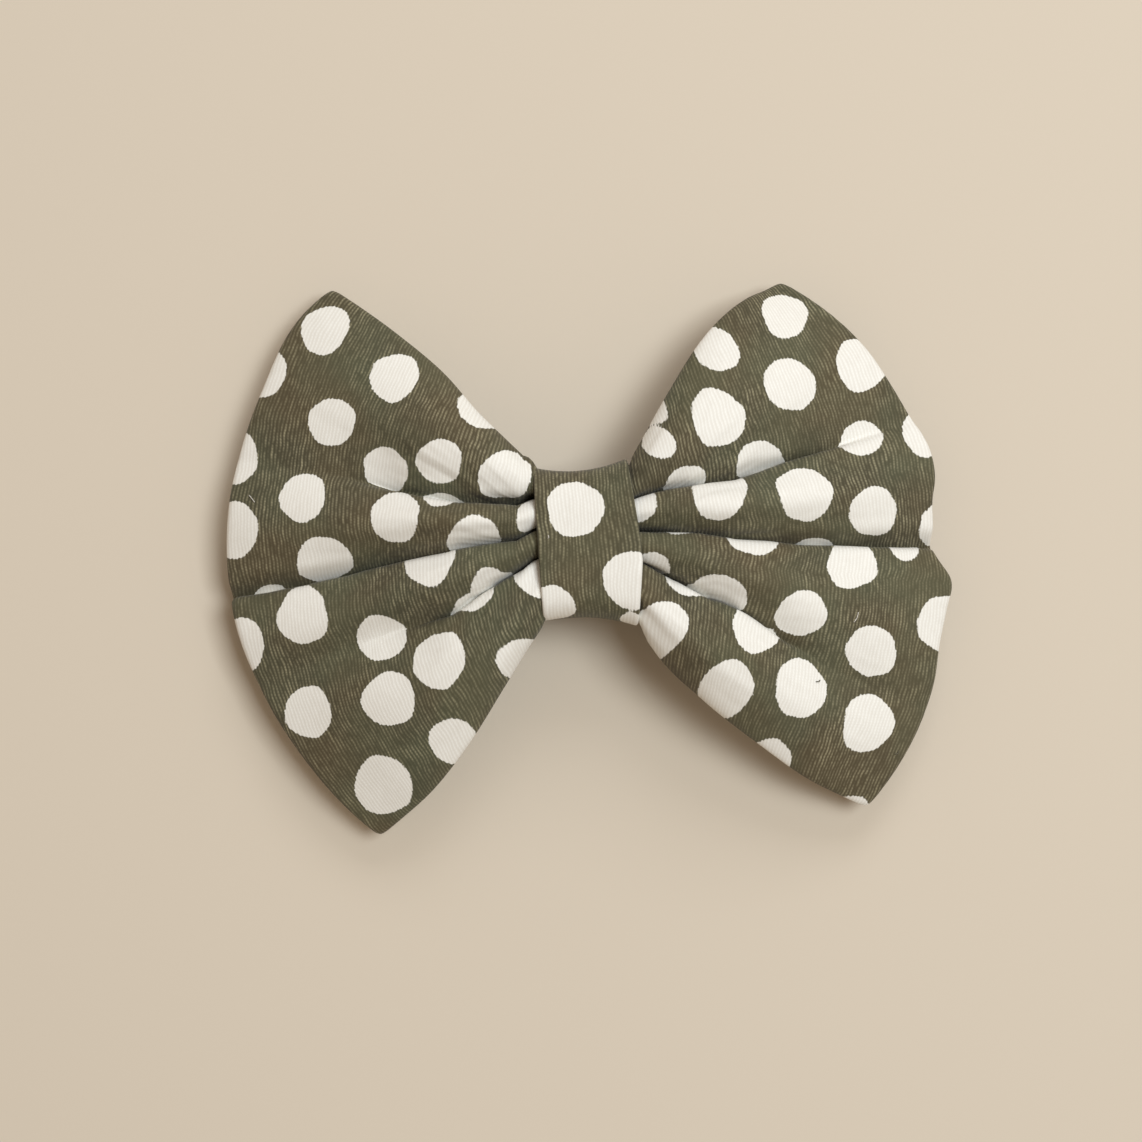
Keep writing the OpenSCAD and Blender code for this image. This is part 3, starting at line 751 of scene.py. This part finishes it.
def plied_thread(name, dark, light):
    """Sewing thread, whose plies wind round it. Its colour is painted paler on the plies' crests and darker
    in the grooves between them, as painted shade, with random fuzz.
    """
    m = Shader(name, 0.7, Sheen_Weight=0.2)
    run, turn, _ = m.parts(m.attribute("cloth"))
    ply = m.wave(m.add(m.times(run, 1.5), m.times(turn, 2 / TAU)))
    fuzz = m.noise(m.place(), 9.0, 3.0, 0.7)
    # Painted shade: the plies' crests are paler and the grooves between them darker.
    return m.finish(m.blend(m.add(m.times(ply, 0.7), m.times(fuzz, 0.3)), dark, light), ply, 0.08)


def grosgrain():
    """Ribbon with ribs across it, which are in its mesh. Its fine warp threads run along it. Its colour is
    painted paler on each rib's top and darker between ribs, as painted highlight and shade, with uneven tone
    besides.
    """
    m = Shader("grosgrain", 0.75, Sheen_Weight=0.25)
    run, across, _ = m.parts(m.attribute("cloth"))
    warp = m.wave(m.times(across, 1 / 0.22))
    uneven = m.noise(m.vector(m.times(run, 0.8), m.times(across, 4.0)), 1.0, 3.0)
    # Painted highlight and shade of the ribs: paler on their tops, darker between them; the noise adds uneven
    # tone.
    shade = m.add(m.times(m.wave(m.times(run, 1 / RIB)), 0.5), m.times(uneven, 0.5))
    colour = m.blend(m.span(shade, 0.1, 0.9), srgb(72, 66, 50), srgb(118, 112, 88))
    return m.finish(colour, warp, 0.03)


def set_glue():
    """Hot glue, set and slightly cloudy, with specks of air."""
    m = Shader("set_glue", 0.3, Subsurface_Weight=0.3, Subsurface_Scale=0.002)
    cloud = m.noise(m.place(), 0.6, 3.0)
    colour = m.blend(m.span(cloud, 0.3, 0.7), srgb(222, 214, 192), srgb(240, 236, 222))
    bubbles = m.span(m.noise(m.place(), 3.5, 1.0), 0.68, 0.76)
    return m.finish(m.blend(bubbles, colour, srgb(250, 248, 240)), cloud, 0.15,
                    roughness=m.span(cloud, 0.3, 0.7, 0.22, 0.45))


def satin_nickel():
    """Stamped steel with satin nickel plate: fine lines from rolling, worn paler and smoother."""
    m = Shader("satin_nickel", 0.3, metallic=1.0)
    x, y, z = m.parts(m.place())
    rolled = m.noise(m.vector(m.times(x, 0.25), m.times(y, 9.0), m.times(z, 9.0)), 1.0, 4.0, 0.7)
    wear = m.noise(m.place(), 0.35, 4.0, 0.6)
    colour = m.blend(m.span(wear, 0.35, 0.65), srgb(202, 199, 193), srgb(216, 214, 208))
    colour = m.blend(m.times(m.span(rolled, 0.55, 0.8), 0.35), colour, srgb(140, 136, 130))
    rough = m.add(m.span(wear, 0.3, 0.7, 0.24, 0.32), m.times(rolled, 0.12))
    return m.finish(colour, rolled, 0.012, roughness=rough)


def drawn_wire():
    """Spring wire, darker than the plate, with the lines that the die left along it."""
    m = Shader("drawn_wire", 0.3, metallic=1.0)
    run, turn, _ = m.parts(m.attribute("cloth"))
    lines = m.noise(m.vector(m.times(run, 0.4), m.times(turn, 6.0)), 1.0, 3.0, 0.7)
    colour = m.blend(m.span(lines, 0.35, 0.7), srgb(120, 117, 112), srgb(176, 172, 165))
    return m.finish(colour, lines, 0.01, roughness=m.span(lines, 0.3, 0.7, 0.25, 0.42))


# ---- the soft pieces ----


def add_piece(piece, slot, *nodes, body="bow"):
    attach(piece, body)
    if nodes:
        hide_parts(*nodes)
    return piece


def offset(grid, distance):
    return grid["middle"] + grid["normal"] * distance[..., None]


def wing_cloth(cotton, felt_material, thread):
    """The two panels, the interfacing fused to each, and the thread of the seam round them."""
    grid, left, right = cloth()
    puff = 1.15 * grid["inside"] * np.sin(math.pi * grid["s"] ** 0.8)
    left["dots"] = front_dots(LEFT, left, LEFT_DOTS, 5)
    right["dots"] = front_dots(RIGHT, right, RIGHT_DOTS, 6)
    front_depth = joined(left, right, "dots")
    back_depth = scattered_dots(grid["along"] + 4, grid["across"] + 3, 8)
    core = slice(5, -5, 2)
    for name, side, swell, dots in (("front", 1, puff, front_depth), ("back", -1, 0.3 * puff, back_depth)):
        face = (CLOTH_HALF + swell) * grid["rim"] + 0.04
        hem = np.minimum(COTTON_T, face * 0.45)
        outer = offset(grid, side * face + grid["bump"])
        inner = offset(grid, side * (face - hem) + grid["bump"])
        values = np.stack([grid["along"], grid["across"], dots], -1)
        panel = shell(name + "_cloth", outer[:, ::side], inner[:, ::side], cotton, values[:, ::side])
        add_piece(panel, "dotted_cotton", name + "_panel")

        lining = {key: grid[key][core, core] for key in ("middle", "normal", "bump")}
        top = (face - hem)[core, core] - 0.02
        sheets = [offset(lining, side * (top - depth) + lining["bump"])[:, ::side] for depth in (0, LINING_T)]
        fused = shell(name + "_lining", *sheets, felt_material)
        add_piece(fused, "interfacing", name + "_interfacing")

    path = rim_of(grid["middle"][4:-4, 4:-4])
    add_piece(tube("seam_stitches", path, 0.11, thread, sides=6, closed=True), "thread", "seam_thread")
    return grid


def outline(points):
    """Convex outline of points in a plane, from the leftmost one on."""
    ring = points[convex_hull_2d(points.tolist())]
    return np.roll(ring, -np.argmin(ring[:, 0]), axis=0)


def gathering_thread(grid, thread):
    """The thread wound six times round the gathers, under the band."""
    turns, radius = 6, 0.2
    waist, normal = (grid[key][len(REACHES) + len(WAIST) // 2] for key in ("middle", "normal"))
    reach = (CLOTH_HALF + radius) * normal[:, 1:]
    ring = outline(np.concatenate([waist[:, 1:] + reach, waist[:, 1:] - reach]))
    ring = resampled(np.concatenate([ring, ring[:1]]), 0.5)[:-1]
    step = np.arange(turns * len(ring))
    x = (step / len(step) - 0.5) * turns * radius * 2.1
    path = np.column_stack([x, ring[step % len(ring)]])
    add_piece(tube("gathering_thread", path, radius, thread, sides=8), "thread", "gather_thread")


# ---- the band ----

BAND_PLY = 0.4                   # from the middle of the band to the middle of a ply
BAND_PLY_T = 0.36
BAND_STEP = 0.35                 # spacing of its mesh along it

# Middle of the band in the plane along it: (distance up from the knot, height). It starts under the
# clip's lever, passes over the front, and ends under its own start.
BAND_PATH = [
    (3.6, 8.6), (0, 8.6), (-4.2, 8.75), (-9.5, 9.9), (-11.8, 11.6), (-12.6, 15), (-12.3, 19.6), (-10.3, 22.4),
    (-6, 23.45), (0, 23.55), (6, 23.45), (10.3, 22.4), (12.3, 19.6), (12.6, 15), (11.8, 11.4), (9.3, 9.4),
    (5, 7.8), (2, 7.35), (-3.6, 7.3),
]


def band_shape(across, path_y, path_z):
    """Places a point of the straight band, which spreads at its mouths and bows at its right edge."""
    front = smooth((path_z - 10) / 6)
    right = np.clip(across / BAND_HALF_W, 0, 1.1)
    bow = through([(-14, -1.2), (-10.5, -0.7), (-3, 0.3), (2, 0.05), (13, -1)], path_y)
    x = across + front * (right * bow + 0.35 * np.clip(-across / BAND_HALF_W, 0, 1.1))
    half = mix(*band_halves(x), smooth(path_y / 6 + 0.5))
    y = path_y * mix(1, half / 12.6, front)
    dip = 0.3 * (1 - (x / 8.7) ** 2) * smooth((path_z - 18) / 4)
    z = path_z - dip + 0.12 * front * noise(x / 5, path_y / 5, 41)
    x, y = turned(x, y, BAND_TURN)
    return np.stack([BAND_MIDDLE[0] + x, BAND_MIDDLE[1] + y, z], -1)


def band_layer(path, section):
    """A grid of points: one row for each point of the path, one column for each of the section's,
    which are (across, out from the path)."""
    spot = path[:, None] + beside(path)[:, None] * section[None, :, 1:2]
    return band_shape(np.broadcast_to(section[None, :, 0], spot.shape[:2]), spot[..., 0], spot[..., 1])


def folded_section(out):
    """Section of the strip folded round its middle, with its raw edges meeting on the inside. out
    moves it away from the middle of its ply."""
    radius = BAND_PLY + out
    turn = np.linspace(-math.pi / 2, math.pi / 2, 9)
    bend = np.stack([BAND_HALF_W + radius * np.cos(turn), radius * np.sin(turn)], -1)
    start = np.stack([np.linspace(0.15, BAND_HALF_W, 15, endpoint=False), np.full(15, -radius)], -1)
    face = np.stack([np.linspace(BAND_HALF_W, -BAND_HALF_W, 34)[1:-1], np.full(32, radius)], -1)
    mirrored = np.array([-1, 1])
    return np.concatenate([start, bend, face, bend[::-1] * mirrored, start[::-1] * mirrored])


def centre_band(cotton, felt_material):
    path = spline(BAND_PATH, BAND_STEP)
    outer, middle, inner = (folded_section(out) for out in (BAND_PLY_T / 2, 0, -BAND_PLY_T / 2))
    points = band_layer(path, outer)
    girth = run_along(middle)
    run = np.arange(len(path)) * BAND_STEP
    p = np.broadcast_to(girth - girth[-1] / 2, points.shape[:2])
    q = np.broadcast_to(run[:, None], points.shape[:2])
    rng = np.random.default_rng(9)
    depth = scattered_dots(p - 3, q - 30, 17, bare=(-14, 42))
    for x, y, radius in BAND_DOTS:
        x, y = under(x, y, BAND_TOP - 1)
        miss = np.hypot(points[..., 0] - x, points[..., 1] - y) + np.where(points[..., 2] < 16, 50, 0)
        row, col = np.unravel_index(np.argmin(miss), miss.shape)
        depth = np.maximum(depth, dot_depth(p - p[row, col], q - q[row, col], radius, rng))
    values = np.stack([p, q, depth], -1)
    band = shell("folded_band", points, band_layer(path, inner), cotton, values)
    add_piece(band, "dotted_cotton", "centre_band")

    faces = [np.stack([np.linspace(7.9, -7.9, 24), np.full(24, out)], -1)
             for out in (LINING_T / 2, -LINING_T / 2)]
    lining = shell("band_lining", *(band_layer(path[4:-4:2], face) for face in faces), felt_material)
    add_piece(lining, "interfacing", "band_interfacing")


def band_hand_stitches(thread):
    """Slanting stitches over the band's end, under the lever."""
    count, half_row = 7, 7.2
    end_y, end_z = BAND_PATH[-1]
    rng = np.random.default_rng(3)
    pieces = []
    for k in range(count):
        across = mix(-half_row, half_row, k / (count - 1)) + rng.uniform(-0.3, 0.3)
        lean = rng.uniform(0.3, 0.6)
        arch = [(0, end_y - 1.1, end_z + 0.9), (0.1, end_y - 0.75, end_z + 0.45),
                (lean * 0.5, end_y - 0.1, end_z - 0.62), (lean, end_y + 0.8, end_z - 0.82),
                (lean, end_y + 1.25, end_z - 0.5)]
        path = [band_shape(np.array(across + dx), np.array(y), np.array(z)) for dx, y, z in arch]
        pieces.append(tube("stitch", spline(path, 0.2), 0.16, thread, sides=8))
    add_piece(merged("band_hand_stitches", pieces), "thread", "band_stitches")


def merged(name, pieces):
    """Joins pieces of one material into the first."""
    with bpy.context.temp_override(active_object=pieces[0], selected_editable_objects=pieces):
        bpy.ops.object.join()
    pieces[0].name = pieces[0].data.name = name
    return pieces[0]


# ---- the clip's soft and bent pieces ----

RIB = 0.95                       # pitch of the ribbon's ribs


def clip_lining(material):
    """The grosgrain ribbon folded round the front of the upper lever."""
    lo, hi = node_box("clip_ribbon")
    thick = 0.3
    mid_z = (lo[2] + hi[2]) / 2
    reach = (hi[2] - lo[2] - thick) / 2
    nose = lo[0] + reach + thick / 2
    turn = np.linspace(math.pi / 2, 3 * math.pi / 2, 9)
    path = np.concatenate([[[hi[0], mid_z + reach]],
                           np.stack([nose + reach * np.cos(turn), mid_z + reach * np.sin(turn)], -1),
                           [[hi[0], mid_z - reach]]])
    path = resampled(path, RIB / 6)
    out = beside(path)
    run = np.arange(len(path)) * RIB / 6
    edge = np.array([1, 0.985, 0.95])
    across = np.concatenate([-edge, np.linspace(-0.85, 0.85, 13), edge[::-1]])
    rib = 0.5 + 0.5 * np.cos(TAU * run / RIB)[:, None]
    round_off = np.sqrt(1 - np.abs(across) ** 24)[None, :]
    half = (thick / 2 - 0.06 + 0.06 * rib) * np.maximum(round_off, 0.25)
    half_w = (hi[1] - lo[1]) / 2 - 0.1 + 0.1 * rib
    y = CLIP_Y + across[None, :] * half_w

    def layer(side):
        x, z = (path[:, None, k] + side * out[:, None, k] * half for k in (0, 1))
        return np.stack([x, y, z], -1)

    values = np.stack(np.broadcast_arrays(run[:, None], y, 0.0), -1)
    add_piece(shell("grosgrain_lining", layer(-1), layer(1), material, values), "ribbon", "clip_ribbon")


def glue_blob(material):
    """Glue pressed out between the ribbon and the back of the gathers, thicker round its rim."""
    middle = (GLUE_LO + GLUE_HI) / 2
    size = GLUE_HI - GLUE_LO
    around = np.linspace(0, TAU, 96, endpoint=False)
    straight = (size[0] - size[1]) / 2
    x = np.clip(np.cos(around) * 4, -1, 1) * straight + np.cos(around) * size[1] / 2
    y = np.sin(around) * size[1] / 2
    wobble = 1 + 0.05 * noise(np.cos(around) * 2.2, np.sin(around) * 2.2, 51)
    upper = [(1.0, 0), (0.985, 0.6), (0.92, 0.94), (0.7, 1), (0.35, 1), (0.02, 1)]
    rings = [(scale, -height) for scale, height in upper[:0:-1]] + upper
    points = []
    for scale, height in rings:
        ripple = 0.04 * noise(x * scale / 2 + 9, y * scale / 2 + 9, 53) * abs(height) * (scale < 0.9)
        points.append(np.stack([middle[0] + x * scale * wobble, middle[1] + y * scale * wobble,
                                middle[2] + height * size[2] / 2 - ripple * height], -1))
    faces = ring_faces(len(rings), len(around))
    add_piece(make_mesh("pressed_glue", np.concatenate(points), faces, material), "hot_glue", "glue_pad")


def torsion_spring(material):
    """Four coils round the pin, and a leg under each thumb tab."""
    lo, hi = node_box("clip_spring")
    tail = node_box("clip_bottom_lever")[1][0]
    coils, coil_radius, radius = 4, 1.55, 0.35
    half = (hi[1] - lo[1]) / 2 - radius
    leg_end = hi[0] - radius
    lower = math.radians(-6)
    turns = TAU * coils + math.pi + lower
    f = np.linspace(0, 1, 150)
    angle = math.pi / 2 + f * turns
    wound = np.stack([HINGE[0] + coil_radius * np.cos(angle), CLIP_Y + half * (1 - 2 * f),
                      HINGE[2] + coil_radius * np.sin(angle)], -1)
    upper_leg = [(leg_end, CLIP_Y + half, hi[2] - radius)]
    bend = HINGE[0] + 3
    jaw_top = HINGE[2] - 2.4
    lower_leg = [(x, CLIP_Y - half, mix(jaw_top, 0.6, (x - bend) / (tail - bend)) + radius + 0.1)
                 for x in (bend + 1, leg_end)]
    path = np.concatenate([resampled([*upper_leg, wound[0]], 0.5)[:-1], wound,
                           resampled([wound[-1], *lower_leg], 0.5)[1:]])
    spring = tube("torsion_spring", path, radius, material, sides=12)
    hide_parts("clip_spring")
    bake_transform(spring)


# Short fibres caught on the cloth: (x, y, direction in degrees, length)
PALE_LINT = [(46.9, -10.1, 65, 1.9), (-59.6, 10.8, -50, 1.6), (-7.4, 4.1, 80, 0.6)]
DARK_LINT = [(40.2, -21.3, 20, 0.8), (54.1, -34, 40, 0.9)]


def cloth_top(x, y):
    """Height of the highest cloth close to (x, y)."""
    heights = []
    for name in ("front_cloth", "folded_band"):
        vertices = bpy.data.objects[name].data.vertices
        points = np.empty(len(vertices) * 3)
        vertices.foreach_get("co", points)
        points = points.reshape(-1, 3) / MM
        near = np.hypot(points[:, 0] - x, points[:, 1] - y) < 0.5
        heights += list(points[near, 2])
    return max(heights)


def loose_fibres(pale, dark):
    """A loose end of thread at the band's lower corner, and short fibres on the cloth."""
    tail = spline([(-8.6, -9.6, 14), (-9.1, -10.6, 14.6), (-10.4, -12.3, 14), (-11, -14.2, 12.6)], 0.3)
    lint = {"loose_thread": [tube("fibre", tail, 0.13, pale, sides=6)], "dark_lint": []}
    for name, material, fibres in (("loose_thread", pale, PALE_LINT), ("dark_lint", dark, DARK_LINT)):
        for x, y, direction, length in fibres:
            x, y = under(x, y, cloth_top(x, y))
            dx, dy = turned(length / 2, 0, math.radians(direction))
            path = [(px, py, cloth_top(px, py) + 0.05)
                    for px, py in ((x - dx, y - dy), (x + 0.12, y - 0.12), (x + dx, y + dy))]
            lint[name].append(tube("fibre", spline(path, 0.1), 0.1, material, sides=6))
    for name, pieces in lint.items():
        add_piece(merged(name, pieces), "thread")


# ---- scene ----


def camera():
    data = bpy.data.cameras.new("camera")
    data.lens = data.sensor_width * VIEW_DISTANCE / VIEW_WIDTH
    data.clip_start, data.clip_end = 0.01, 10
    eye = bpy.context.scene.camera = add_object("camera", data)
    eye.location = Vector((*VIEW_MIDDLE, VIEW_Z + VIEW_DISTANCE)) * MM


FLOOR = srgb(214, 204, 188)


def floor():
    m = Shader("floor_plain", 0.9)
    half = 1500
    corners = [(-half, -half, 0), (half, -half, 0), (half, half, 0), (-half, half, 0)]
    make_mesh("floor", corners, [(0, 1, 2, 3)], m.finish(FLOOR))


def light(name, place, size, power, colour):
    """A soft square light, in metres and watts, that faces the bow."""
    data = bpy.data.lights.new(name, "AREA")
    data.size = size
    data.energy = power
    data.color = colour
    lamp = add_object(name, data)
    lamp.location = place
    lamp.rotation_euler = (-Vector(place)).to_track_quat("-Z", "Y").to_euler()


def lights():
    """A window high behind the upper edge, and a room that lights the rest softly."""
    light("window", (0.2, 0.95, 0.75), 0.5, 3.7, (0.97, 0.98, 1.0))
    light("ceiling", (0.46, 0.16, 1.15), 0.5, 9.9, (0.92, 0.97, 1.0))
    world = bpy.data.worlds.new("studio")
    world.use_nodes = True
    background = world.node_tree.nodes["Background"]
    background.inputs["Color"].default_value = (1.0, 0.79, 0.59, 1)
    background.inputs["Strength"].default_value = 0.36
    bpy.context.scene.world = world
    bpy.context.scene.view_settings.view_transform = "Standard"


camera()
cotton = printed_cotton()
felt_material = felt()
white_thread = plied_thread("white_thread", srgb(196, 190, 176), srgb(244, 241, 233))
olive_thread = plied_thread("olive_thread", srgb(74, 68, 50), srgb(124, 117, 92))
grid = wing_cloth(cotton, felt_material, olive_thread)
gathering_thread(grid, white_thread)
centre_band(cotton, felt_material)
band_hand_stitches(olive_thread)
clip_lining(grosgrain())
glue_blob(set_glue())
torsion_spring(drawn_wire())
loose_fibres(white_thread, olive_thread)
nickel = satin_nickel()
for node in ("clip_top_lever", "clip_bottom_lever", "clip_hinge_pin"):
    for slot in bpy.data.objects[node].material_slots:
        slot.material = nickel
floor()
lights()
